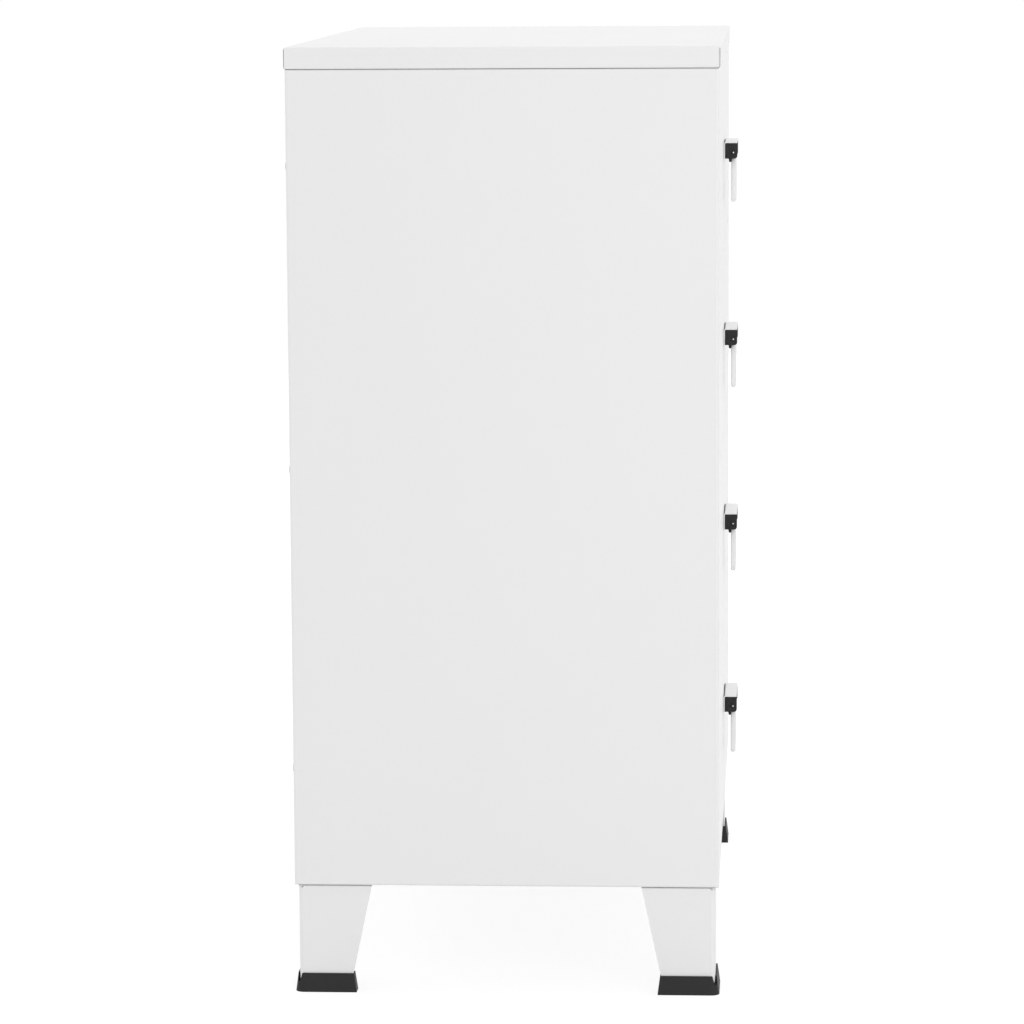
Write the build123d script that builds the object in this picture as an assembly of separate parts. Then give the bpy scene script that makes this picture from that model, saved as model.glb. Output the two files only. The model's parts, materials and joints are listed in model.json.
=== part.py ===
"""White steel drawer cabinet: a folded-sheet case on four corner legs, with four drawers on telescopic
runners and a hanging bail handle on each. Millimetres, +Z up, front towards -Y, floor at Z = 0."""
from build123d import *
from math import atan2, degrees
import os

# Whole cabinet
overall_width = 780.0
overall_height = 930.0
top_depth = 420.0
underside_height = 108.0

# Case panels
case_sheet = 1.0
inner_bend = 1.2
top_overhang = 1.0
top_skirt = 21.0
top_return = 14.0
corner_slit = 0.8
corner_slit_reach = 21.0
stile_width = 24.0
stile_return = 15.0
side_flange = 18.0
base_lip = 22.0
base_return = 14.0
back_flange = 12.0

# Uprights that carry the runners
upright_face = 40.0
upright_lip = 12.0
upright_setback = 70.0
upright_tail = 10.0

# Legs of bent sheet
leg_sheet = 1.5
leg_bend = 3.0
leg_inset = 3.5
leg_top_width = 72.5
leg_foot_width = 53.5
leg_flange = 22.0
leg_flange_bend = 1.0
leg_relief = 3.0

# Flared shoes
shoe_height = 18.5
shoe_floor = 4.0
shoe_wall = 1.6
shoe_end = 0.8
shoe_flare = 2.5
shoe_thickness = 10.0
shoe_slot_gap = 0.1

# Hexagon bolts and nuts that hold the legs
bolt_diameter = 6.0
bolt_head_across = 10.0
bolt_head_height = 4.0
bolt_spacing = 26.0
bolt_tail = 1.5
nut_height = 5.0
nut_thread_gap = 0.1

# Low-headed screws of the top and back panels
panel_screw_diameter = 4.0
panel_screw_head = 8.0
panel_screw_head_height = 0.9
panel_screw_length = 6.0
panel_screw_margin = 9.0
top_screw_shares = (0.4, 0.6)
back_screw_shares = (0.12, 0.5, 0.88)

# Drawers
drawer_count = 4
drawer_gap = 3.0
drawer_side_gap = 2.0
drawer_sheet = 0.9
front_depth = 18.0
front_return = 25.0
tray_height = 150.0
tray_lift = 12.0
tray_back_gap = 25.0
tray_rim = 8.0

# Telescopic runners
runner_height = 45.0
runner_thickness = 12.7
runner_sheet = 1.2
runner_gap = 0.5
runner_race = 3.1
runner_stop = 16.0
runner_lift = 40.0
runner_setback = 2.0
runner_tail = 71.0

# Handle bracket and its black end blocks
handle_width = 78.0
handle_height = 17.3
handle_depth = 14.0
bracket_sheet = 1.2
block_width = 8.0
block_round = 3.0
block_web = 1.5

# Hanging bail
bail_drop = 62.7
bail_thickness = 5.0
bail_arm = 7.0
bail_bar = 8.0
bail_corner = 5.0
bail_bevel = 1.2
bail_side_gap = 0.5
pivot_drop = 11.0
pivot_out = 10.0
trunnion_diameter = 4.0
trunnion_fit = 0.05

# Handle screws
handle_screw_diameter = 3.0
handle_screw_head = 5.5
handle_screw_head_height = 2.0
handle_screw_thread_gap = 0.1

# Cross recess of the screws, as shares of the head's diameter and height
recess_length_share = 0.55
recess_blade_share = 0.14
recess_depth_share = 0.6

# Shared clearances
fit = 0.3
hole_gap = 0.3
overrun = 5.0
touch = 0.001

# Places worked out from the sizes above
half_top = overall_width / 2
half_body = half_top - top_overhang
half_opening = half_body - stile_width
half_front = half_opening - drawer_side_gap
half_tray = half_opening - runner_thickness
half_inside = half_body - case_sheet - inner_bend
total_depth = top_depth - top_overhang + handle_depth
top_back_y = total_depth / 2
top_front_y = top_back_y - top_depth
face_y = top_front_y + top_overhang
rear_y = top_back_y - top_overhang
body_top = overall_height - top_skirt
base_floor = underside_height + case_sheet + case_sheet
drawers_low = underside_height + case_sheet + base_lip
pitch = (body_top - drawers_low) / drawer_count
front_height = pitch - drawer_gap
front_back_y = face_y + front_depth
tray_back_y = rear_y - case_sheet - case_sheet - tray_back_gap
runner_front_y = front_back_y + runner_setback
runner_back_y = tray_back_y - runner_tail
runner_z = tray_lift + runner_lift
leg_x = -half_body + leg_inset
leg_y = face_y + leg_inset
bolt_x = leg_x + (leg_sheet + leg_flange) / 2
handle_top = (front_height + handle_height) / 2
half_handle = handle_width / 2
pivot_y = face_y - pivot_out
pivot_z = handle_top - pivot_drop
bail_half = half_handle - block_width - bail_side_gap

SIDES = ("left", "right", "front", "back", "bottom", "top")
MIDDLE_DEPTH = Plane(origin=(0, (face_y + rear_y) / 2, 0), z_dir=(0, 1, 0))


def axis_and_end(side):
    """Axis that a side of a block faces along, and which end of it: 0 for the low one, 1 for the high one."""
    return divmod(SIDES.index(side), 2)


def around(side, others):
    """Pairs of sides that meet at the edges round one face."""
    return [(side, other) for other in others]


def block(low, high):
    """Plain block between two corners."""
    centre = [(a + b) / 2 for a, b in zip(low, high)]
    sizes = [b - a for a, b in zip(low, high)]
    return Pos(*centre) * Box(*sizes)


def round_edges(shape, low, high, bends, radius):
    """Round the straight edges where the named pairs of sides of a block meet."""
    corners = (low, high)
    chosen = []
    for edge in shape.edges():
        centre = tuple(edge.center())
        for sides in bends:
            places = [axis_and_end(side) for side in sides]
            if all(abs(centre[axis] - corners[end][axis]) < touch for axis, end in places):
                chosen.append(edge)
    return fillet(chosen, radius)


def casing(low, high, wall, bends, open_sides=()):
    """Folded box with a wall on every side but the open ones, bent round at the named edges."""
    inner = ([], [])
    for axis in range(3):
        inner[0].append(low[axis] + wall)
        inner[1].append(high[axis] - wall)
    for side in open_sides:
        axis, end = axis_and_end(side)
        inner[end][axis] = (low[axis] - overrun, high[axis] + overrun)[end]
    outside = round_edges(block(low, high), low, high, bends, inner_bend + wall)
    inside = round_edges(block(*inner), *inner, bends, inner_bend)
    return outside - inside


def strip(points, wall):
    """Section of a bent sheet. The points follow one face, and the sheet lies to their left."""
    corners = [Vector(*point) for point in points]
    runs = [(end - start).normalized() for start, end in zip(corners, corners[1:])]
    lefts = [Vector(-run.Y, run.X) for run in runs]
    far = [corners[0] + lefts[0] * wall]
    near_radii = []
    far_radii = []
    for corner, before, after, run in zip(corners[1:], lefts, lefts[1:], runs):
        far.append(corner + (before + after) * (wall / (1 + before.dot(after))))
        turns_left = run.dot(after) < 0
        near_radii.append(inner_bend + wall if turns_left else inner_bend)
        far_radii.append(inner_bend if turns_left else inner_bend + wall)
    far.append(corners[-1] + lefts[-1] * wall)
    near_line = FilletPolyline(*corners, radius=near_radii)
    far_line = FilletPolyline(*far, radius=far_radii)
    ends = [Line(corners[0], far[0]), Line(corners[-1], far[-1])]
    return make_face([*near_line.edges(), *far_line.edges(), *ends])


def along_y(section, start, length):
    """Section drawn in X and Z, carried back from a place in Y."""
    return Pos(0, start, 0) * extrude(Plane.XZ * section, amount=length, dir=(0, 1, 0))


def along_x(section, start, length):
    """Section drawn in Y and Z, carried to the right from a place in X."""
    return Pos(start, 0, 0) * extrude(Plane.YZ * section, amount=length, dir=(1, 0, 0))


def rod(start, end, radius):
    """Round bar between two points."""
    axis = Vector(*end) - Vector(*start)
    return extrude(Plane(origin=start, z_dir=tuple(axis)) * Circle(radius), amount=axis.length)


def mirrored(shape):
    """The same piece on the cabinet's right side."""
    return mirror(shape, about=Plane.YZ)


def pair(shape):
    """A piece and its twin on the right side, as two solids."""
    return shape + mirrored(shape)


# Fasteners

def leg_bolt_places():
    """Bolt places on the left front leg, as Y."""
    middle = leg_y + leg_top_width / 2
    return [middle - bolt_spacing / 2, middle + bolt_spacing / 2]


def top_screw_places():
    """Screw places along the left side's upper flange, as Y."""
    return [face_y + (rear_y - face_y) * share for share in top_screw_shares]


def back_screw_places():
    """Screw places up the left side's rear flange, as Z."""
    return [drawers_low + (body_top - drawers_low) * share for share in back_screw_shares]


screw_x = -half_body + panel_screw_margin


def leg_bolt_holes():
    """Clearance holes for the bolts of all four legs."""
    radius = bolt_diameter / 2 + hole_gap
    low = underside_height - leg_sheet - overrun
    front = [rod((bolt_x, y, low), (bolt_x, y, base_floor + overrun), radius) for y in leg_bolt_places()]
    both = front + [mirror(hole, about=MIDDLE_DEPTH) for hole in front]
    return both + [mirrored(hole) for hole in both]


def panel_screw_holes():
    """Clearance holes for the screws of the top and back panels, on both sides."""
    radius = panel_screw_diameter / 2 + hole_gap
    upper = [rod((screw_x, y, body_top - overrun), (screw_x, y, body_top + overrun), radius)
             for y in top_screw_places()]
    rear = [rod((screw_x, rear_y - overrun, z), (screw_x, rear_y + overrun, z), radius)
            for z in back_screw_places()]
    left = upper + rear
    return left + [mirrored(hole) for hole in left]


def leg_bolts():
    """Hexagon bolts, put in from below."""
    seat = underside_height - leg_sheet
    tip = base_floor + nut_height + bolt_tail
    solids = []
    for y in leg_bolt_places():
        shank = rod((bolt_x, y, seat), (bolt_x, y, tip), bolt_diameter / 2)
        outline = RegularPolygon(bolt_head_across / 2, 6, major_radius=False)
        head = Pos(bolt_x, y, seat - bolt_head_height) * extrude(outline, amount=bolt_head_height)
        bolt = shank + head
        solids += [bolt, mirror(bolt, about=MIDDLE_DEPTH)]
    return Compound(children=solids + [mirrored(bolt) for bolt in solids])


def leg_nuts():
    """Hexagon nuts on the base panel."""
    solids = []
    for y in leg_bolt_places():
        outline = RegularPolygon(bolt_head_across / 2, 6, major_radius=False)
        outline -= Circle(bolt_diameter / 2 + nut_thread_gap)
        nut = Pos(bolt_x, y, base_floor) * extrude(outline, amount=nut_height)
        solids += [nut, mirror(nut, about=MIDDLE_DEPTH)]
    return Compound(children=solids + [mirrored(nut) for nut in solids])


def screw_head(seat, direction, diameter, height):
    """Round screw head with a cross recess. It sits on a place, and the screw runs the given way."""
    crown = tuple(Vector(*seat) - Vector(*direction) * height)
    length = diameter * recess_length_share
    blade = diameter * recess_blade_share
    cross = Rectangle(length, blade) + Rectangle(blade, length)
    recess = extrude(Plane(origin=crown, z_dir=direction) * cross, amount=height * recess_depth_share)
    return rod(crown, seat, diameter / 2) - recess


def panel_screw(seat, direction):
    """Low-headed screw whose head sits on a place and whose shank runs the given way."""
    tip = tuple(Vector(*seat) + Vector(*direction) * panel_screw_length)
    head = screw_head(seat, direction, panel_screw_head, panel_screw_head_height)
    return rod(seat, tip, panel_screw_diameter / 2) + head


def panel_screws():
    """Screws of the top panel, put in from below, and of the back panel, put in from behind."""
    upper = [panel_screw((screw_x, y, body_top - case_sheet), (0, 0, 1)) for y in top_screw_places()]
    rear = [panel_screw((screw_x, rear_y, z), (0, -1, 0)) for z in back_screw_places()]
    solids = upper + rear
    return Compound(children=solids + [mirrored(screw) for screw in solids])


# Case

def top_panel():
    """Top tray with a skirt, a return under the skirt and mitred, open corners."""
    low = (-half_top, top_front_y, body_top)
    high = (half_top, top_back_y, overall_height)
    skirts = ("left", "right", "front", "back")
    tray = casing(low, high, case_sheet, around("top", skirts) + around("bottom", skirts))
    tray -= block((low[0] + top_return, low[1] + top_return, low[2] - overrun),
                  (high[0] - top_return, high[1] - top_return, low[2] + case_sheet))
    slit_height = top_skirt - inner_bend - case_sheet
    for x in (low[0], high[0]):
        for y in (low[1], high[1]):
            turn = 45 if x * (y - (low[1] + high[1]) / 2) > 0 else -45
            slit = Box(corner_slit_reach * 2, corner_slit, slit_height)
            tray -= Pos(x, y, body_top + slit_height / 2) * Rot(0, 0, turn) * slit
    for hole in panel_screw_holes():
        tray -= hole
    return tray


def side_panel():
    """Left side: one sheet with a boxed front stile and flanges at the top, bottom and rear."""
    low = (-half_body, face_y, underside_height)
    high = (-half_opening, rear_y, body_top)
    bends = around("left", ("front", "back", "top", "bottom")) + [("front", "right")]
    panel = casing(low, high, case_sheet, bends)
    panel -= block((low[0] + side_flange, low[1] + stile_return, low[2] - overrun),
                   (high[0] + overrun, high[1] + overrun, high[2] + overrun))
    for hole in leg_bolt_holes() + panel_screw_holes():
        panel -= hole
    return panel


def base_panel():
    """Floor of the case with a boxed rail at the front and a lip at the rear, notched round the stiles."""
    low = (-half_inside, face_y, underside_height + case_sheet)
    high = (half_inside, rear_y - case_sheet, drawers_low)
    bends = around("bottom", ("front", "back")) + [("front", "top")]
    panel = casing(low, high, case_sheet, bends, open_sides=("left", "right"))
    panel -= block((low[0] - overrun, low[1] + base_return, high[2] - case_sheet - touch),
                   (high[0] + overrun, high[1] - case_sheet, high[2] + overrun))
    notch = block((-half_body, face_y - overrun, low[2] - overrun),
                  (-half_opening + fit, face_y + stile_return + fit, high[2] + overrun))
    panel -= notch
    panel -= mirrored(notch)
    for hole in leg_bolt_holes():
        panel -= hole
    return panel


def back_panel():
    """Back sheet with forward flanges, held against the sides' rear flanges."""
    low = (-half_inside, rear_y - case_sheet - back_flange, drawers_low)
    high = (half_inside, rear_y - case_sheet, body_top - case_sheet - inner_bend)
    bends = around("back", ("left", "right", "top", "bottom"))
    panel = casing(low, high, case_sheet, bends, open_sides=("front",))
    for hole in panel_screw_holes():
        panel -= hole
    return panel


def upright(start):
    """Hat-section post on the left side, from the base to the upper flange, its lips cropped at the bends."""
    seat = -half_body + case_sheet + case_sheet
    end = start + upright_face
    section = strip([(seat, start - upright_lip), (seat, start), (-half_opening, start),
                     (-half_opening, end), (seat, end), (seat, end + upright_lip)], case_sheet)
    height = body_top - case_sheet - fit - base_floor
    post = Pos(0, 0, base_floor) * extrude(section, amount=height)
    crop = case_sheet + inner_bend + fit
    for low, high in ((base_floor - overrun, underside_height + crop), (body_top - crop, body_top)):
        post -= block((-half_body, start - upright_lip - overrun, low),
                      (-half_body + crop, end + upright_lip + overrun, high))
    return post


# Legs and shoes

def leg():
    """Left front leg: two tapered wings bent at the corner, with a bolted flange and a relief at its bend."""
    outline = [(0, shoe_floor), (leg_foot_width, shoe_floor), (leg_foot_width, shoe_height),
               (leg_top_width, underside_height), (0, underside_height)]
    side_wing = make_face(Polyline(*[(leg_y + reach, z) for reach, z in outline], close=True))
    front_wing = make_face(Polyline(*[(leg_x + reach, z) for reach, z in outline], close=True))
    body = along_x(side_wing, leg_x, leg_sheet) + along_y(front_wing, leg_y, leg_sheet)
    high = (leg_x + leg_sheet, leg_y + leg_sheet, underside_height)
    low = (leg_x, leg_y, shoe_floor)
    body = round_edges(body, low, high, [("left", "front")], leg_bend + leg_sheet)
    body = round_edges(body, low, high, [("right", "back")], leg_bend)
    corner = leg_bend + leg_sheet
    body += block((leg_x, leg_y + corner, underside_height - leg_sheet),
                  (leg_x + leg_flange, leg_y + leg_top_width, underside_height))
    body -= block((leg_x - overrun, leg_y - overrun, underside_height - leg_relief),
                  (leg_x + corner, leg_y + corner, underside_height + overrun))
    body = round_edges(body, low, high, [("left", "top")], leg_flange_bend + leg_sheet)
    fold = (leg_x + leg_sheet, leg_y + leg_sheet, underside_height - leg_sheet)
    body = round_edges(body, low, fold, [("right", "top")], leg_flange_bend)
    for hole in leg_bolt_holes():
        body -= hole
    return body


def corner_outline(outer, thickness, reach):
    """L-shaped outline round the left front leg's bend, out past the leg and along its two wings."""
    points = [(-outer, -outer), (reach, -outer), (reach, thickness), (thickness, thickness),
              (thickness, reach), (-outer, reach)]
    outline = make_face(Polyline(*[(leg_x + x, leg_y + y) for x, y in points], close=True))
    corner = outline.vertices().sort_by_distance((leg_x - outer, leg_y - outer))[0]
    return fillet(corner, leg_bend + leg_sheet + outer)


def shoe():
    """Flared shoe round the foot of the left front leg."""
    reach = leg_foot_width + shoe_end
    foot = corner_outline(shoe_wall + shoe_flare, shoe_thickness + shoe_flare, reach + shoe_flare)
    body = extrude(foot, amount=shoe_height, taper=degrees(atan2(shoe_flare, shoe_height)))
    slot = corner_outline(shoe_slot_gap, leg_sheet + shoe_slot_gap, leg_foot_width + shoe_slot_gap)
    body -= Pos(0, 0, shoe_floor) * extrude(slot, amount=shoe_height)
    bend = rod((leg_x + leg_sheet, leg_y + leg_sheet, shoe_floor),
               (leg_x + leg_sheet, leg_y + leg_sheet, shoe_height + overrun), leg_bend)
    return body - bend


# Drawers, drawn with the lower edge of the front at Z = 0

def handle_screw_places():
    """Handle screw places, as X."""
    place = half_handle - block_width / 2
    return (-place, place)


def handle_screw_holes(radius):
    """Holes for the handle screws through the front and the bracket and into the blocks."""
    height = handle_top - handle_height / 2
    tip = pivot_y + trunnion_diameter / 2 + trunnion_fit + block_web
    back = face_y + drawer_sheet
    return [rod((x, back + touch, height), (x, tip, height), radius) for x in handle_screw_places()]


def drawer_front():
    """Drawer front: a folded pan with returns at its back."""
    low = (-half_front, face_y, 0)
    high = (half_front, front_back_y, front_height)
    rims = ("left", "right", "top", "bottom")
    pan = casing(low, high, drawer_sheet, around("front", rims) + around("back", rims))
    pan -= block((low[0] + front_return, high[1] - drawer_sheet - touch, low[2] + front_return),
                 (high[0] - front_return, high[1] + overrun, high[2] - front_return))
    for hole in handle_screw_holes(handle_screw_diameter / 2 + hole_gap):
        pan -= hole
    return pan


def drawer_tray():
    """Drawer tray with an inward safety rim."""
    low = (-half_tray, front_back_y, tray_lift)
    high = (half_tray, tray_back_y, tray_lift + tray_height)
    walls = ("left", "right", "front", "back")
    tray = casing(low, high, drawer_sheet, around("bottom", walls) + around("top", walls))
    tray -= block((low[0] + tray_rim, low[1] + tray_rim, high[2] - drawer_sheet - touch),
                  (high[0] - tray_rim, high[1] - tray_rim, high[2] + overrun))
    return tray


def runner_race_section(outer, inner, half):
    """Section of a left channel that opens inwards, with lips that keep the balls in their races."""
    upper = runner_z + half
    lower = runner_z - half
    lip = runner_sheet + runner_race - runner_gap
    points = [(inner, upper - lip), (inner, upper), (outer, upper),
              (outer, lower), (inner, lower), (inner, lower + lip)]
    return strip(points, runner_sheet)


def runner_drawer_section(outer, inner, half):
    """Section of a left drawer channel, which opens outwards."""
    points = [(outer, runner_z - half), (inner, runner_z - half),
              (inner, runner_z + half), (outer, runner_z + half)]
    return strip(points, runner_sheet)


def runner_stop_tab(outer, inner):
    """Tab bent inwards at the rear of the left cabinet channel, which stops the other two."""
    back = runner_back_y + runner_gap + runner_sheet
    section = strip([(inner, back), (outer, back), (outer, runner_back_y - runner_sheet)], runner_sheet)
    return Pos(0, 0, runner_z - runner_stop / 2) * extrude(section, amount=runner_stop)


def runner_channels():
    """The cabinet, middle and drawer channels of one pair of runners."""
    outer = -half_opening
    inner = -half_tray - runner_gap
    half = runner_height / 2
    inwards = runner_sheet + runner_gap
    narrower = runner_sheet + runner_race
    sections = [runner_race_section(outer, inner, half),
                runner_race_section(outer + inwards, inner, half - narrower),
                runner_drawer_section(outer + inwards * 2, -half_tray, half - narrower * 2)]
    length = runner_back_y - runner_front_y
    channels = [along_y(section, runner_front_y, length) for section in sections]
    channels[0] += runner_stop_tab(outer, inner)
    return [pair(channel) for channel in channels]


def handle_bracket():
    """White bracket: back plate and top hood."""
    low = handle_top - handle_height
    section = strip([(face_y, low), (face_y, handle_top), (face_y - handle_depth, handle_top)], bracket_sheet)
    bracket = along_x(section, -half_handle, handle_width)
    for hole in handle_screw_holes(handle_screw_diameter / 2 + hole_gap):
        bracket -= hole
    return bracket


def handle_blocks():
    """Black end blocks under the hood, bored for the bail's trunnions."""
    low = (-half_handle, face_y - handle_depth, handle_top - handle_height)
    high = (-half_handle + block_width, face_y - bracket_sheet, handle_top - bracket_sheet)
    body = round_edges(block(low, high), low, high, [("back", "top")], inner_bend)
    body = round_edges(body, low, high, [("front", "bottom")], block_round)
    bore = trunnion_diameter / 2 + trunnion_fit
    body -= rod((low[0] - overrun, pivot_y, pivot_z), (high[0] + overrun, pivot_y, pivot_z), bore)
    for hole in handle_screw_holes(handle_screw_diameter / 2 + handle_screw_thread_gap):
        body -= hole
    return pair(body)


def handle_screws():
    """Screws from inside the drawer front into the end blocks."""
    back = face_y + drawer_sheet
    height = handle_top - handle_height / 2
    solids = []
    for x, shank in zip(handle_screw_places(), handle_screw_holes(handle_screw_diameter / 2)):
        head = screw_head((x, back, height), (0, -1, 0), handle_screw_head, handle_screw_head_height)
        solids.append(shank + head)
    return Compound(children=solids)


def handle_bail():
    """Hanging bail: two arms, a grip bar and a trunnion at the top of each arm."""
    low = (-bail_half, pivot_y - bail_thickness / 2, handle_top - bail_drop)
    high = (bail_half, pivot_y + bail_thickness / 2, pivot_z)
    inner_low = (low[0] + bail_arm, low[1] - overrun, low[2] + bail_bar)
    inner_high = (high[0] - bail_arm, high[1] + overrun, high[2] + overrun)
    lower_corners = [("left", "bottom"), ("right", "bottom")]
    body = round_edges(block(low, high), low, high, lower_corners, bail_corner)
    body -= round_edges(block(inner_low, inner_high), inner_low, inner_high, lower_corners, bail_corner / 2)
    rims = body.edges().filter_by_position(Axis.Y, low[1], low[1])
    rims += body.edges().filter_by_position(Axis.Y, high[1], high[1])
    lengthwise = [edge for edge in rims if edge.center().Z < high[2] - touch]
    body = chamfer(lengthwise, bail_bevel)
    eye = rod((-bail_half, pivot_y, pivot_z), (-bail_half + bail_arm, pivot_y, pivot_z), bail_thickness / 2)
    trunnion = rod((-half_handle, pivot_y, pivot_z), (-bail_half, pivot_y, pivot_z), trunnion_diameter / 2)
    return body + pair(eye + trunnion)


# The whole cabinet

def cabinet_pieces():
    """Every piece of the cabinet by name."""
    pieces = {"top_panel": top_panel(), "base_panel": base_panel(), "back_panel": back_panel()}
    pieces["side_panel_left"] = side_panel()
    pieces["side_panel_right"] = mirrored(pieces["side_panel_left"])
    upright_starts = {"front": face_y + upright_setback, "rear": runner_back_y + upright_tail - upright_face}
    for place, start in upright_starts.items():
        pieces["upright_left_" + place] = upright(start)
        pieces["upright_right_" + place] = mirrored(pieces["upright_left_" + place])
    for name, piece in (("leg", leg()), ("shoe", shoe())):
        rear = mirror(piece, about=MIDDLE_DEPTH)
        pieces[name + "_left_front"] = piece
        pieces[name + "_right_front"] = mirrored(piece)
        pieces[name + "_left_rear"] = rear
        pieces[name + "_right_rear"] = mirrored(rear)
    pieces["leg_bolts"] = leg_bolts()
    pieces["leg_nuts"] = leg_nuts()
    pieces["panel_screws"] = panel_screws()
    cabinet_channels, middle_channels, drawer_channels = runner_channels()
    drawer_pieces = {"drawer_{}_front": drawer_front(), "drawer_{}_tray": drawer_tray(),
                     "drawer_{}_channels": drawer_channels, "runner_{}_cabinet_channels": cabinet_channels,
                     "runner_{}_middle_channels": middle_channels, "handle_{}_bracket": handle_bracket(),
                     "handle_{}_blocks": handle_blocks(), "handle_{}_screws": handle_screws(),
                     "handle_{}_bail": handle_bail()}
    for row in range(1, drawer_count + 1):
        lower_edge = body_top - pitch * row + drawer_gap / 2
        for name, piece in drawer_pieces.items():
            pieces[name.format(row)] = Pos(0, 0, lower_edge) * piece
    return pieces


os.makedirs("parts", exist_ok=True)
for node, solid in cabinet_pieces().items():
    export_step(solid, "parts/" + node + ".step")
print("handle pivot, millimetres:", pivot_y, [body_top - pitch * row + drawer_gap / 2 + pivot_z
                                             for row in range(1, drawer_count + 1)])
print("drawer face", face_y, "opening half width", half_opening, "pitch", pitch)
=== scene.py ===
import json
import math

import bmesh
import bpy
from mathutils import Matrix, Vector


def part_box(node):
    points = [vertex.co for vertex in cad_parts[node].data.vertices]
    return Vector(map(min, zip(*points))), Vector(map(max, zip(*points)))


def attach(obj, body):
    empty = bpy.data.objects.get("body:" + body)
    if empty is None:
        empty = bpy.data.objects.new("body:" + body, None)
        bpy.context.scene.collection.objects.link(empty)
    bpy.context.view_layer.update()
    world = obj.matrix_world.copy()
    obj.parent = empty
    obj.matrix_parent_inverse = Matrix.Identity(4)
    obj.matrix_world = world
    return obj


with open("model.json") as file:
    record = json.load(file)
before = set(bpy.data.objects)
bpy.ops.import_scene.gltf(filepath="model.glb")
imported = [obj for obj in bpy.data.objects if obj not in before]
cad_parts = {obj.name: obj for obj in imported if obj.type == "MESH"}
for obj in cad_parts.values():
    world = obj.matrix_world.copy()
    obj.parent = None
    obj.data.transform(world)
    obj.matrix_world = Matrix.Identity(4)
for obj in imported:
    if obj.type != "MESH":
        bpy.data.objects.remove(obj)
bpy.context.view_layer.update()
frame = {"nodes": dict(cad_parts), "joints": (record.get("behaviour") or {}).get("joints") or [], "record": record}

# Camera, in metres and degrees, placed from the case's left side, top and front
CAMERA_FROM_SIDE = 4.2
CAMERA_ABOVE_TOP = 0.1219
CAMERA_BEFORE_FRONT = 0.0571
CAMERA_YAW = 3.53
CAMERA_PITCH = -7.74
CAMERA_ROLL = -0.34
CAMERA_LENS = 153.6
SENSOR_WIDTH = 36.0

# Studio, in metres and watts
FLOOR_RADIUS = 6.0
FLOOR_POINTS = 96
FLOOR_FADE_START = 1.4
FLOOR_FADE_END = 3.2
FLOOR_SHADOW_SHARE = 0.22
FLOOR_GREY = 0.9
FLOOR_GLOW = 1.1
SKY_LIGHT = 0.7
SOFTBOXES = {
    "overhead_softbox": {"place": (0.0, -1.0, 3.4), "size": 3.0, "power": 14.0},
    "left_softbox": {"place": (-3.4, -1.6, 1.7), "size": 2.4, "power": 32.5},
    "right_softbox": {"place": (3.4, -2.2, 2.2), "size": 2.4, "power": 29.0},
    "rear_softbox": {"place": (0.8, 3.6, 2.4), "size": 2.4, "power": 40.0},
}
SOFTBOX_AIM = (0.0, 0.0, 0.5)
UNMIRRORED_SOFTBOXES = ("right_softbox", "rear_softbox")

# Round shapes
ROUND_POINTS = 40
DOME_TURN = math.radians(64)
DOME_STEPS = 5
ROUNDING_STEPS = 3
ROUNDING_PROFILE = 0.5
QUARTERS = 4

# Screws, rivets and release levers on the drawer channels, in metres and shares of a channel's length
DRAWER_ROWS = 4
RUNNER_SHEET = 0.0012
SCREW_RADIUS = 0.0036
SCREW_HEIGHT = 0.0022
SCREW_DOME_TURN = math.radians(48)
SCREW_PLACES = (0.1, 0.46, 0.92)
RECESS_LENGTH = 0.0042
RECESS_BLADE = 0.001
RECESS_DEPTH = 0.0012
LEVER_PLACE = 0.2
LEVER_LENGTH = 0.062
LEVER_HUB = 0.0062
LEVER_TIP = 0.0036
LEVER_THICKNESS = 0.0032
LEVER_ROUNDING = 0.0007
RIVET_RADIUS = 0.0032
RIVET_HEIGHT = 0.0013

# Caps and pins at the bails' pivots, and black lugs standing in for the shade under the handle blocks, in metres
# and a share of a block's depth
CAP_RADIUS = 0.0029
CAP_HEIGHT = 0.0008
CAP_CLEARANCE = 0.00005
PIN_RADIUS = 0.0008
PIN_HEIGHT = 0.0003
BLOCK_WIDTH = 0.008
SHADE_LUG_HEIGHT = 0.0036
SHADE_LUG_WIDTH = 0.006
SHADE_LUG_THICKNESS = 0.0036
SHADE_LUG_PLACE = 0.43
SHADE_LUG_TIP_SHARE = 0.7
SHADE_LUG_ROUNDING = 0.0005
SHADE_LUG_ROOT = 0.0004

# Weld beads in the legs' corner reliefs, in metres
RELIEF_WIDTH = 0.0045
RELIEF_HEIGHT = 0.003
BEAD_RADIUS = 0.0026
BEAD_RIPPLE = 0.05
BEAD_RIPPLES = 9.0

# All finishes: what a square edge turns the rounded normal by, rays to a point, finer layers in a noise,
# and the places of a colour mix's inputs and output
SQUARE_EDGE_TURN = 1 - math.sqrt(0.5)
EDGE_RAYS = 6
SEAM_RAYS = 8
MIDDLE = 0.5
SMOOTH_NOISE = 1.0
GRAINY_NOISE = 2.0
RICH_NOISE = 3.0
MIX_SHARE, MIX_FIRST, MIX_SECOND = 0, 6, 7
MIX_RESULT = 2

# White powder coat: greys, grain in lumps to the metre, depths in metres and shares of the mix
COAT_GREY = 0.83
COAT_SPREAD = 0.02
COAT_EDGE = 0.0005
COAT_CLOUDS = 5.0
COAT_CLOUD_SHARE = 0.5
COAT_SPECKS = 1400.0
COAT_SPECK_SHARE = 0.3
COAT_EDGE_SHARE = 0.3
COAT_PEEL = 420.0
COAT_WAVES = 26.0
COAT_PEEL_SHARE = 0.7
COAT_PEEL_DEPTH = 0.00006
COAT_ROUGHNESS = 0.36
COAT_WAVE_ROUGHNESS = 0.1
COAT_SPECK_ROUGHNESS = 0.08
COAT_EDGE_ROUGHNESS = 0.1
# Painted shade deep in seams: how far the occlusion looks in metres, where the darkening starts and ends, and how
# much darker the coat is painted there
SEAM_REACH = 0.006
SEAM_START = 0.35
SEAM_END = 0.85
PAINTED_SEAM_SHADE = 0.85

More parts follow.
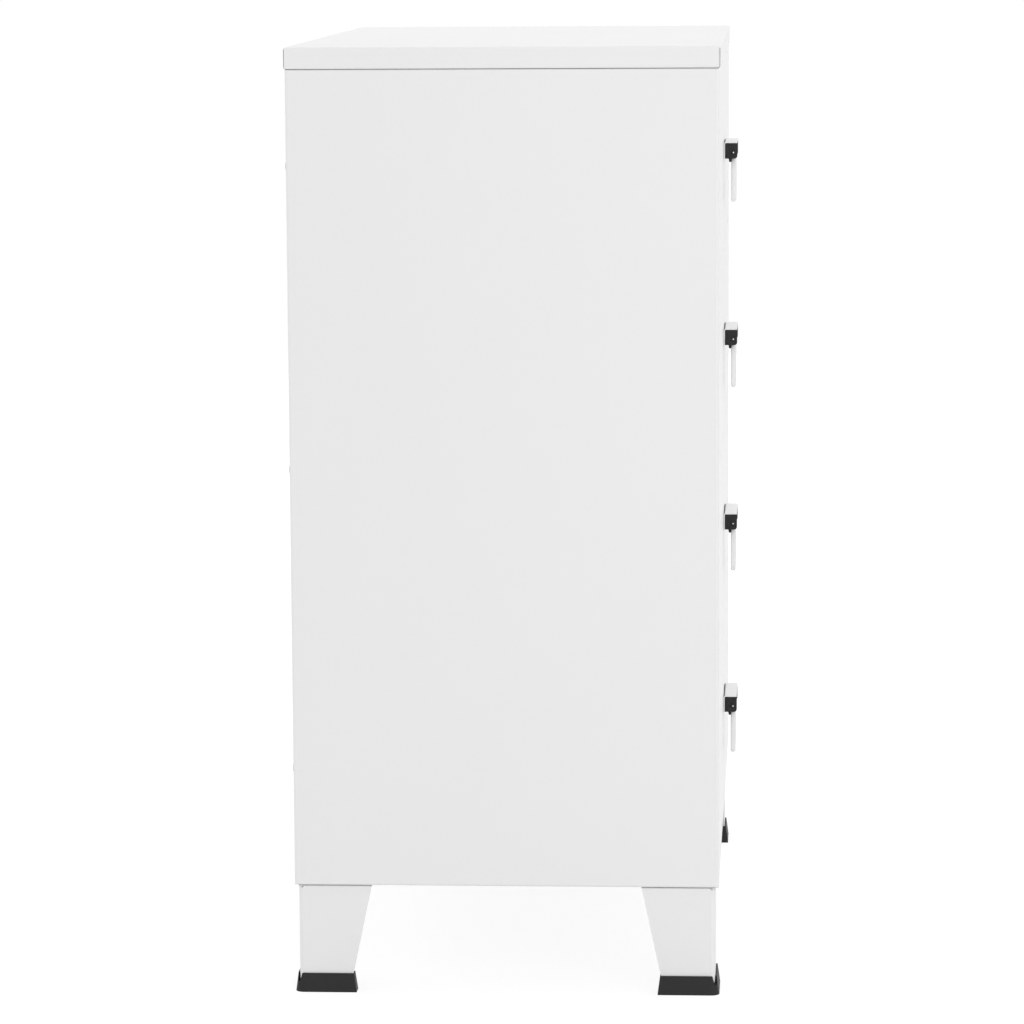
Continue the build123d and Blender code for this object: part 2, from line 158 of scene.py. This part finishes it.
# Zinc plate
STEEL_GREY = (0.62, 0.63, 0.65)
STEEL_DARK = 0.8
STEEL_BRIGHT = 1.12
STEEL_EDGE = 0.0003
STEEL_DRAWN = 900.0
STEEL_DRAWN_STRETCH = (1.0, 0.04, 1.0)
STEEL_SPANGLES = 160.0
STEEL_CLOUDS = 30.0
STEEL_SPANGLE_SHARE = 0.35
STEEL_DRAWN_SHARE = 0.35
STEEL_CLOUD_SHARE = 0.3
STEEL_EDGE_SHARE = 0.3
STEEL_DRAWN_DEPTH = 0.00002
STEEL_ROUGHNESS = 0.26
STEEL_DRAWN_ROUGHNESS = 0.14
STEEL_CLOUD_ROUGHNESS = 0.1
STEEL_EDGE_ROUGHNESS = 0.06

# Black moulded plastic
PLASTIC_GREY = 0.013
PLASTIC_DARK = 0.7
PLASTIC_PALE = 1.4
PLASTIC_EDGE = 0.0006
PLASTIC_GRAIN = 1800.0
PLASTIC_CLOUDS = 40.0
PLASTIC_CLOUD_SHARE = 0.6
PLASTIC_GRAIN_SHARE = 0.4
PLASTIC_GRAIN_DEPTH = 0.00008
PLASTIC_ROUGHNESS = 0.45
PLASTIC_GRAIN_ROUGHNESS = 0.2
PLASTIC_SHINE = 0.3


class Shade:
    """A value in a node tree. A sum with it adds a Math node."""

    def __init__(self, nodes, socket):
        self.nodes = nodes
        self.socket = socket

    def math(self, operation, *values):
        return self.nodes.node("ShaderNodeMath", {"operation": operation}, dict(enumerate(values)))

    def __add__(self, other):
        return self.math("ADD", self, other)

    def __radd__(self, other):
        return self.math("ADD", other, self)

    def __sub__(self, other):
        return self.math("SUBTRACT", self, other)

    def __rsub__(self, other):
        return self.math("SUBTRACT", other, self)

    def __mul__(self, other):
        return self.math("MULTIPLY", self, other)

    def __rmul__(self, other):
        return self.math("MULTIPLY", other, self)

    def __truediv__(self, other):
        return self.math("DIVIDE", self, other)

    def __gt__(self, other):
        return self.math("GREATER_THAN", self, other)

    def smooth(self, start, end):
        """0 before start, 1 after end and a smooth step between them."""
        sockets = {"Value": self, "From Min": start, "From Max": end}
        return self.nodes.node("ShaderNodeMapRange", {"interpolation_type": "SMOOTHSTEP"}, sockets)


class Nodes:
    """A node tree that is filled node by node."""

    def __init__(self, tree):
        self.tree = tree
        self.tree.nodes.clear()

    def node(self, kind, settings=None, sockets=None, output=0):
        """Add a node, set it up, feed its sockets and give one of its outputs."""
        made = self.tree.nodes.new(kind)
        for name, value in (settings or {}).items():
            setattr(made, name, value)
        for name, value in (sockets or {}).items():
            if isinstance(value, Shade):
                self.tree.links.new(value.socket, made.inputs[name])
            else:
                made.inputs[name].default_value = value
        return Shade(self, made.outputs[output]) if made.outputs else made

    def place(self):
        """Place on the piece, in metres of the shared frame."""
        return self.node("ShaderNodeTexCoord", output="Object")

    def stretched(self, place, sizes):
        """A place with its three axes scaled."""
        return self.node("ShaderNodeVectorMath", {"operation": "MULTIPLY"}, {0: place, 1: sizes})

    def noise(self, place, per_metre, detail):
        """Cloudy value round the middle with that many lumps to the metre."""
        return self.node("ShaderNodeTexNoise", {}, {"Vector": place, "Scale": per_metre, "Detail": detail})

    def spangle(self, place, per_metre):
        """A random value for each crystal, that many to the metre."""
        sockets = {"Vector": place, "Scale": per_metre}
        colour = self.node("ShaderNodeTexVoronoi", {}, sockets, output="Color")
        return self.node("ShaderNodeSeparateColor", {}, {"Color": colour})

    def tint(self, share, dark, light):
        """Colour between two colours, each three numbers or a colour of the tree."""
        first, second = [end if isinstance(end, Shade) else (*end, 1.0) for end in (dark, light)]
        sockets = {MIX_SHARE: share, MIX_FIRST: first, MIX_SECOND: second}
        return self.node("ShaderNodeMix", {"data_type": "RGBA"}, sockets, output=MIX_RESULT)

    def rounded(self, radius):
        """Normal of a surface whose edges are rounded off."""
        return self.node("ShaderNodeBevel", {"samples": EDGE_RAYS}, {"Radius": radius})

    def edge(self, rounded):
        """0 on the flat, rising to 1 on a square edge, from the rounded normal."""
        flat = self.node("ShaderNodeNewGeometry", output="Normal")
        settings = {"operation": "DOT_PRODUCT"}
        along = self.node("ShaderNodeVectorMath", settings, {0: rounded, 1: flat}, output="Value")
        return (1 - along) / SQUARE_EDGE_TURN

    def openness(self, reach):
        """Ambient occlusion: 1 in the open, falling to 0 deep in a narrow gap no wider than a reach in metres."""
        settings = {"samples": SEAM_RAYS}
        return self.node("ShaderNodeAmbientOcclusion", settings, {"Distance": reach}, output="AO")

    def bump(self, height, depth, normal):
        """Normal of a surface that stands out by a height from 0 to 1 times a depth in metres."""
        return self.node("ShaderNodeBump", {}, {"Height": height, "Distance": depth, "Normal": normal})

    def surface(self, sockets):
        """Principled shader on the material's output."""
        shader = self.node("ShaderNodeBsdfPrincipled", {}, sockets)
        self.node("ShaderNodeOutputMaterial", {}, {"Surface": shader})


def grey(value):
    return (value, value, value)


def scaled(colour, share):
    return [level * share for level in colour]


def finish(name):
    """A new material and its empty node tree."""
    material = bpy.data.materials.new(name)
    material.use_nodes = True
    return material, Nodes(material.node_tree)


def white_powder_coat():
    """Semi-gloss coat: fine orange peel, faint clouds, thinner and duller on edges, and painted shade deep in
    seams.
    """
    material, nodes = finish("white_powder_coat")
    place = nodes.place()
    rounded = nodes.rounded(COAT_EDGE)
    edge = nodes.edge(rounded)
    cloud = nodes.noise(place, COAT_CLOUDS, RICH_NOISE) - MIDDLE
    speck = nodes.noise(place, COAT_SPECKS, SMOOTH_NOISE) - MIDDLE
    peel = nodes.noise(place, COAT_PEEL, GRAINY_NOISE)
    wave = nodes.noise(place, COAT_WAVES, SMOOTH_NOISE)
    # Painted shade: ambient occlusion darkens the coat's colour deep in seams and gaps, where shade falls
    painted_seam_shade = (1 - nodes.openness(SEAM_REACH)).smooth(SEAM_START, SEAM_END)
    tone = cloud * COAT_CLOUD_SHARE + speck * COAT_SPECK_SHARE - edge * COAT_EDGE_SHARE + MIDDLE
    unshaded = nodes.tint(tone, grey(COAT_GREY - COAT_SPREAD), grey(COAT_GREY + COAT_SPREAD))
    colour = nodes.tint(painted_seam_shade, unshaded, grey(COAT_GREY * (1 - PAINTED_SEAM_SHADE)))
    uneven = (wave - MIDDLE) * COAT_WAVE_ROUGHNESS + speck * COAT_SPECK_ROUGHNESS
    rough = COAT_ROUGHNESS + uneven + edge * COAT_EDGE_ROUGHNESS
    height = peel * COAT_PEEL_SHARE + wave * (1 - COAT_PEEL_SHARE)
    normal = nodes.bump(height, COAT_PEEL_DEPTH, rounded)
    nodes.surface({"Base Color": colour, "Roughness": rough, "Normal": normal})
    return material


def zinc_plate():
    """Bright zinc plate: drawn along the piece, with faint spangle and brighter, rubbed edges."""
    material, nodes = finish("zinc_plate")
    place = nodes.place()
    rounded = nodes.rounded(STEEL_EDGE)
    edge = nodes.edge(rounded)
    drawn = nodes.noise(nodes.stretched(place, STEEL_DRAWN_STRETCH), STEEL_DRAWN, RICH_NOISE)
    spangle = nodes.spangle(place, STEEL_SPANGLES)
    cloud = nodes.noise(place, STEEL_CLOUDS, RICH_NOISE)
    grain = spangle * STEEL_SPANGLE_SHARE + drawn * STEEL_DRAWN_SHARE
    tone = grain + cloud * STEEL_CLOUD_SHARE + edge * STEEL_EDGE_SHARE
    colour = nodes.tint(tone, scaled(STEEL_GREY, STEEL_DARK), scaled(STEEL_GREY, STEEL_BRIGHT))
    uneven = drawn * STEEL_DRAWN_ROUGHNESS + cloud * STEEL_CLOUD_ROUGHNESS
    rough = STEEL_ROUGHNESS + uneven - edge * STEEL_EDGE_ROUGHNESS
    normal = nodes.bump(drawn, STEEL_DRAWN_DEPTH, rounded)
    nodes.surface({"Base Color": colour, "Roughness": rough, "Normal": normal, "Metallic": 1.0})
    return material


def black_plastic():
    """Black moulded plastic with a fine eroded grain and paler, scuffed edges."""
    material, nodes = finish("black_plastic")
    place = nodes.place()
    rounded = nodes.rounded(PLASTIC_EDGE)
    edge = nodes.edge(rounded)
    grain = nodes.noise(place, PLASTIC_GRAIN, GRAINY_NOISE)
    cloud = nodes.noise(place, PLASTIC_CLOUDS, RICH_NOISE)
    tone = cloud * PLASTIC_CLOUD_SHARE + grain * PLASTIC_GRAIN_SHARE + edge * cloud
    colour = nodes.tint(tone, grey(PLASTIC_GREY * PLASTIC_DARK), grey(PLASTIC_GREY * PLASTIC_PALE))
    rough = PLASTIC_ROUGHNESS + grain * PLASTIC_GRAIN_ROUGHNESS
    normal = nodes.bump(grain, PLASTIC_GRAIN_DEPTH, rounded)
    sockets = {"Base Color": colour, "Roughness": rough, "Normal": normal}
    nodes.surface({**sockets, "Specular IOR Level": PLASTIC_SHINE})
    return material


FINISHES = {
    "white_powder_coat": white_powder_coat(),
    "zinc_steel": zinc_plate(),
    "black_plastic": black_plastic(),
}


def dress(thing, material):
    thing.data.materials.clear()
    thing.data.materials.append(material)


def circle(mesh, radius, height):
    """Points of a level circle about Z."""
    turns = [2 * math.pi * point / ROUND_POINTS for point in range(ROUND_POINTS)]
    return [mesh.verts.new((radius * math.cos(turn), radius * math.sin(turn), height)) for turn in turns]


def wall(mesh, lower, upper, smooth):
    """Faces between two closed rows of points."""
    for here in range(len(lower)):
        ahead = (here + 1) % len(lower)
        face = mesh.faces.new((lower[here], lower[ahead], upper[ahead], upper[here]))
        face.smooth = smooth


def face_up(face):
    """Turn a level face over if it faces down."""
    face.normal_update()
    if face.normal.z < 0:
        face.normal_flip()


def rounded_off(mesh, edges, rounding):
    """Edges rounded off."""
    steps = {"segments": ROUNDING_STEPS, "profile": ROUNDING_PROFILE}
    bmesh.ops.bevel(mesh, geom=edges, offset=rounding, affect="EDGES", **steps)


def domed_head(mesh, radius, height, last_turn):
    """Domed head about Z, closed below and open at its flat crown, whose rim is given."""
    rows = []
    for step in range(DOME_STEPS + 1):
        turn = last_turn * step / DOME_STEPS
        rows.append(circle(mesh, radius * math.cos(turn), height * math.sin(turn) / math.sin(last_turn)))
    mesh.faces.new(rows[0][::-1])
    for lower, upper in zip(rows, rows[1:]):
        wall(mesh, lower, upper, True)
    return rows[-1]


def plain_head(mesh, radius, height):
    """Domed head with a plain crown."""
    mesh.faces.new(domed_head(mesh, radius, height, DOME_TURN))


def rivet_head(mesh):
    plain_head(mesh, RIVET_RADIUS, RIVET_HEIGHT)


def pivot_cap(mesh):
    plain_head(mesh, CAP_RADIUS, CAP_HEIGHT)


def pivot_pin(mesh):
    plain_head(mesh, PIN_RADIUS, PIN_HEIGHT)


def screw_head(mesh):
    """Domed head with a cross recess in its crown."""
    crown = domed_head(mesh, SCREW_RADIUS, SCREW_HEIGHT, SCREW_DOME_TURN)
    arm = RECESS_LENGTH / 2
    blade = RECESS_BLADE / 2
    quarter = [Vector(corner) for corner in ((arm, -blade), (arm, blade), (blade, blade))]
    turns = [Matrix.Rotation(2 * math.pi * count / QUARTERS, 2) for count in range(QUARTERS)]
    outline = [turn @ corner for turn in turns for corner in quarter]
    rim = [mesh.verts.new((x, y, SCREW_HEIGHT)) for x, y in outline]
    floor = [mesh.verts.new((x, y, SCREW_HEIGHT - RECESS_DEPTH)) for x, y in outline]
    wall(mesh, rim, floor, False)
    mesh.faces.new(floor)
    pairs = [(row[point - 1], row[point]) for row in (crown, rim) for point in range(len(row))]
    edges = [mesh.edges.get(pair) for pair in pairs]
    for part in bmesh.ops.triangle_fill(mesh, edges=edges, use_beauty=True)["geom"]:
        if isinstance(part, bmesh.types.BMFace):
            face_up(part)


def release_lever(mesh):
    """Flat lever along X with a round hub at the origin, a slimmer tip and a rounded rim."""
    lean = math.acos((LEVER_HUB - LEVER_TIP) / LEVER_LENGTH)
    ends = ((lean, 2 * math.pi - lean, LEVER_HUB, 0.0), (-lean, lean, LEVER_TIP, LEVER_LENGTH))
    half = ROUND_POINTS // 2
    outline = []
    for start, end, radius, along in ends:
        for point in range(half + 1):
            turn = start + (end - start) * point / half
            outline.append((along + radius * math.cos(turn), radius * math.sin(turn)))
    lower = [mesh.verts.new((x, y, 0.0)) for x, y in outline]
    upper = [mesh.verts.new((x, y, LEVER_THICKNESS)) for x, y in outline]
    wall(mesh, lower, upper, True)
    mesh.faces.new(lower[::-1])
    crown = mesh.faces.new(upper)
    rounded_off(mesh, list(crown.edges), LEVER_ROUNDING)


def shade_lug(mesh):
    """Tapered lug that hangs from the origin, with a rounded tip, standing in for shade under a handle block."""
    rows = []
    for share, level in ((SHADE_LUG_TIP_SHARE, -SHADE_LUG_HEIGHT), (1.0, SHADE_LUG_ROOT)):
        x = SHADE_LUG_WIDTH / 2 * share
        y = SHADE_LUG_THICKNESS / 2 * share
        corners = ((-x, -y, level), (x, -y, level), (x, y, level), (-x, y, level))
        rows.append([mesh.verts.new(corner) for corner in corners])
    tip = mesh.faces.new(rows[0][::-1])
    mesh.faces.new(rows[1])
    wall(mesh, rows[0], rows[1], False)
    edges = {edge: None for vert in tip.verts for edge in vert.link_edges}
    rounded_off(mesh, list(edges), SHADE_LUG_ROUNDING)


def weld_bead(mesh):
    """Rippled bead of weld about Z."""
    rows = []
    for step in range(2 * DOME_STEPS + 1):
        turn = DOME_TURN * (step / DOME_STEPS - 1)
        radius = BEAD_RADIUS * math.cos(turn) * (1 + BEAD_RIPPLE * math.sin(BEAD_RIPPLES * turn))
        rows.append(circle(mesh, radius, RELIEF_HEIGHT / 2 * math.sin(turn) / math.sin(DOME_TURN)))
    mesh.faces.new(rows[0][::-1])
    mesh.faces.new(rows[-1])
    for lower, upper in zip(rows, rows[1:]):
        wall(mesh, lower, upper, True)


def add(mesh, make, place, turn):
    """Make a shape about its own origin, then turn it and put it in its place."""
    known = set(mesh.verts)
    make(mesh)
    fresh = [vert for vert in mesh.verts if vert not in known]
    bmesh.ops.transform(mesh, matrix=Matrix.Translation(place) @ turn, verts=fresh)


def piece(name, mesh, slot, body):
    """A piece of the cabinet from a finished mesh, in the finish of its slot, moving with a body."""
    data = bpy.data.meshes.new(name)
    mesh.to_mesh(data)
    mesh.free()
    made = bpy.data.objects.new(name, data)
    bpy.context.scene.collection.objects.link(made)
    dress(made, FINISHES[slot])
    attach(made, body)


def sideways(side):
    """Turn that lays Z outwards to a side, left -1 or right 1, and X towards the back."""
    return Matrix(((0, 0, side), (1, 0, 0), (0, side, 0))).to_4x4()


def runner_pieces(row):
    """Screws, rivets and release levers on both drawer channels of a row."""
    channel_low, channel_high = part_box(f"drawer_{row}_channels")
    tray_low, tray_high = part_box(f"drawer_{row}_tray")
    length = channel_high.y - channel_low.y
    middle = (channel_low.z + channel_high.z) / 2
    fixings = bmesh.new()
    levers = bmesh.new()
    for side, web in ((-1, tray_low.x - RUNNER_SHEET), (1, tray_high.x + RUNNER_SHEET)):
        for share in SCREW_PLACES:
            add(fixings, screw_head, (web, channel_low.y + share * length, middle), sideways(side))
        hub = channel_low.y + LEVER_PLACE * length
        add(levers, release_lever, (web, hub, middle), sideways(side))
        add(fixings, rivet_head, (web + side * LEVER_THICKNESS, hub, middle), sideways(side))
    piece(f"drawer_{row}_runner_fixings", fixings, "zinc_steel", f"drawer_{row}")
    piece(f"drawer_{row}_release_levers", levers, "black_plastic", f"drawer_{row}")


def handle_pieces(row, pivot):
    """Caps with pin ends over both ends of a bail's pivot, and a black lug under each handle block that stands in
    for the shade there.
    """
    low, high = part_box(f"handle_{row}_blocks")
    caps = bmesh.new()
    pins = bmesh.new()
    shade_lugs = bmesh.new()
    for side, face in ((-1, low.x), (1, high.x)):
        foot = face + side * CAP_CLEARANCE
        add(caps, pivot_cap, (foot, pivot.y, pivot.z), sideways(side))
        add(pins, pivot_pin, (foot + side * CAP_HEIGHT, pivot.y, pivot.z), sideways(side))
        # Painted shade: a black lug under the block, near the drawer front, stands where there is only shade
        lug_y = high.y - SHADE_LUG_PLACE * (high.y - low.y)
        add(shade_lugs, shade_lug, (face - side * BLOCK_WIDTH / 2, lug_y, low.z), Matrix.Identity(4))
    piece(f"handle_{row}_pivot_caps", caps, "black_plastic", f"bail_{row}")
    piece(f"handle_{row}_pivot_pins", pins, "zinc_steel", f"bail_{row}")
    piece(f"handle_{row}_painted_shade_lugs", shade_lugs, "black_plastic", f"drawer_{row}")


def weld_pieces():
    """A weld bead in the corner relief of each leg."""
    beads = bmesh.new()
    for side in ("left", "right"):
        for end in ("front", "rear"):
            low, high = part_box(f"leg_{side}_{end}")
            x = low.x + RELIEF_WIDTH / 2 if side == "left" else high.x - RELIEF_WIDTH / 2
            y = low.y + RELIEF_WIDTH / 2 if end == "front" else high.y - RELIEF_WIDTH / 2
            add(beads, weld_bead, (x, y, high.z - RELIEF_HEIGHT / 2), Matrix.Identity(4))
    piece("leg_weld_beads", beads, "white_powder_coat", "cabinet")


def seen_directly(nodes):
    """1 for rays that show the background itself, straight or by gloss or glass."""
    kinds = ("Is Camera Ray", "Is Glossy Ray", "Is Transmission Ray")
    shown = sum(nodes.node("ShaderNodeLightPath", output=kind) for kind in kinds)
    return shown > MIDDLE


def studio_floor():
    """Pale round floor that keeps the shadow and fades to the white background."""
    disc = bmesh.new()
    bmesh.ops.create_circle(disc, cap_ends=True, radius=FLOOR_RADIUS, segments=FLOOR_POINTS)
    data = bpy.data.meshes.new("studio_floor")
    disc.to_mesh(data)
    disc.free()
    floor = bpy.data.objects.new("studio_floor", data)
    bpy.context.scene.collection.objects.link(floor)
    material, nodes = finish("studio_floor")
    away = nodes.node("ShaderNodeVectorMath", {"operation": "LENGTH"}, {0: nodes.place()}, output="Value")
    fade = away.smooth(FLOOR_FADE_START, FLOOR_FADE_END)
    matt = nodes.node("ShaderNodeBsdfDiffuse", {}, {"Color": (*grey(FLOOR_GREY), 1.0)})
    glow = nodes.node("ShaderNodeEmission", {}, {"Strength": FLOOR_GLOW})
    share = seen_directly(nodes) * (1 - FLOOR_SHADOW_SHARE * (1 - fade))
    surface = nodes.node("ShaderNodeMixShader", {}, {0: share, 1: matt, 2: glow})
    nodes.node("ShaderNodeOutputMaterial", {}, {"Surface": surface})
    dress(floor, material)


def studio_sky():
    """White surroundings that light the cabinet more softly than they show."""
    world = bpy.data.worlds.new("studio_sky")
    world.use_nodes = True
    nodes = Nodes(world.node_tree)
    strength = SKY_LIGHT + (1 - SKY_LIGHT) * seen_directly(nodes)
    sky = nodes.node("ShaderNodeBackground", {}, {"Color": (*grey(1.0), 1.0), "Strength": strength})
    nodes.node("ShaderNodeOutputWorld", {}, {"Surface": sky})
    bpy.context.scene.world = world


def studio_lamps():
    """Large soft lamps round the cabinet."""
    for name, facts in SOFTBOXES.items():
        lamp = bpy.data.lights.new(name, "AREA")
        lamp.shape = "SQUARE"
        lamp.size = facts["size"]
        lamp.energy = facts["power"]
        holder = bpy.data.objects.new(name, lamp)
        holder.location = facts["place"]
        holder.visible_glossy = name not in UNMIRRORED_SOFTBOXES
        aim = Vector(SOFTBOX_AIM) - holder.location
        holder.rotation_euler = aim.to_track_quat("-Z", "Y").to_euler()
        bpy.context.scene.collection.objects.link(holder)


def photo_camera():
    """Camera square on the left side, a little above the top and in front of the drawers."""
    data = bpy.data.cameras.new("photo_camera")
    data.sensor_width = SENSOR_WIDTH
    data.lens = CAMERA_LENS
    camera = bpy.data.objects.new("photo_camera", data)
    bpy.context.scene.collection.objects.link(camera)
    low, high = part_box("top_panel")
    place = (low.x - CAMERA_FROM_SIDE, low.y - CAMERA_BEFORE_FRONT, high.z + CAMERA_ABOVE_TOP)
    yaw = math.radians(CAMERA_YAW)
    pitch = math.radians(CAMERA_PITCH)
    ahead = Vector((math.cos(yaw) * math.cos(pitch), math.sin(yaw) * math.cos(pitch), math.sin(pitch)))
    turn = ahead.to_track_quat("-Z", "Y").to_matrix() @ Matrix.Rotation(math.radians(CAMERA_ROLL), 3, "Z")
    camera.matrix_world = Matrix.Translation(place) @ turn.to_4x4()
    bpy.context.scene.camera = camera


for part in frame["record"]["subparts"]:
    dress(frame["nodes"][part["node"]], FINISHES[part["material_slot"]])

pivots = {joint["child"]: Vector(joint["pos_m"]) for joint in frame["joints"] if joint["type"] == "hinge"}
for row in range(1, DRAWER_ROWS + 1):
    runner_pieces(row)
    handle_pieces(row, pivots[f"bail_{row}"])
weld_pieces()

studio_floor()
studio_sky()
studio_lamps()
photo_camera()
bpy.context.scene.view_settings.view_transform = "Standard"
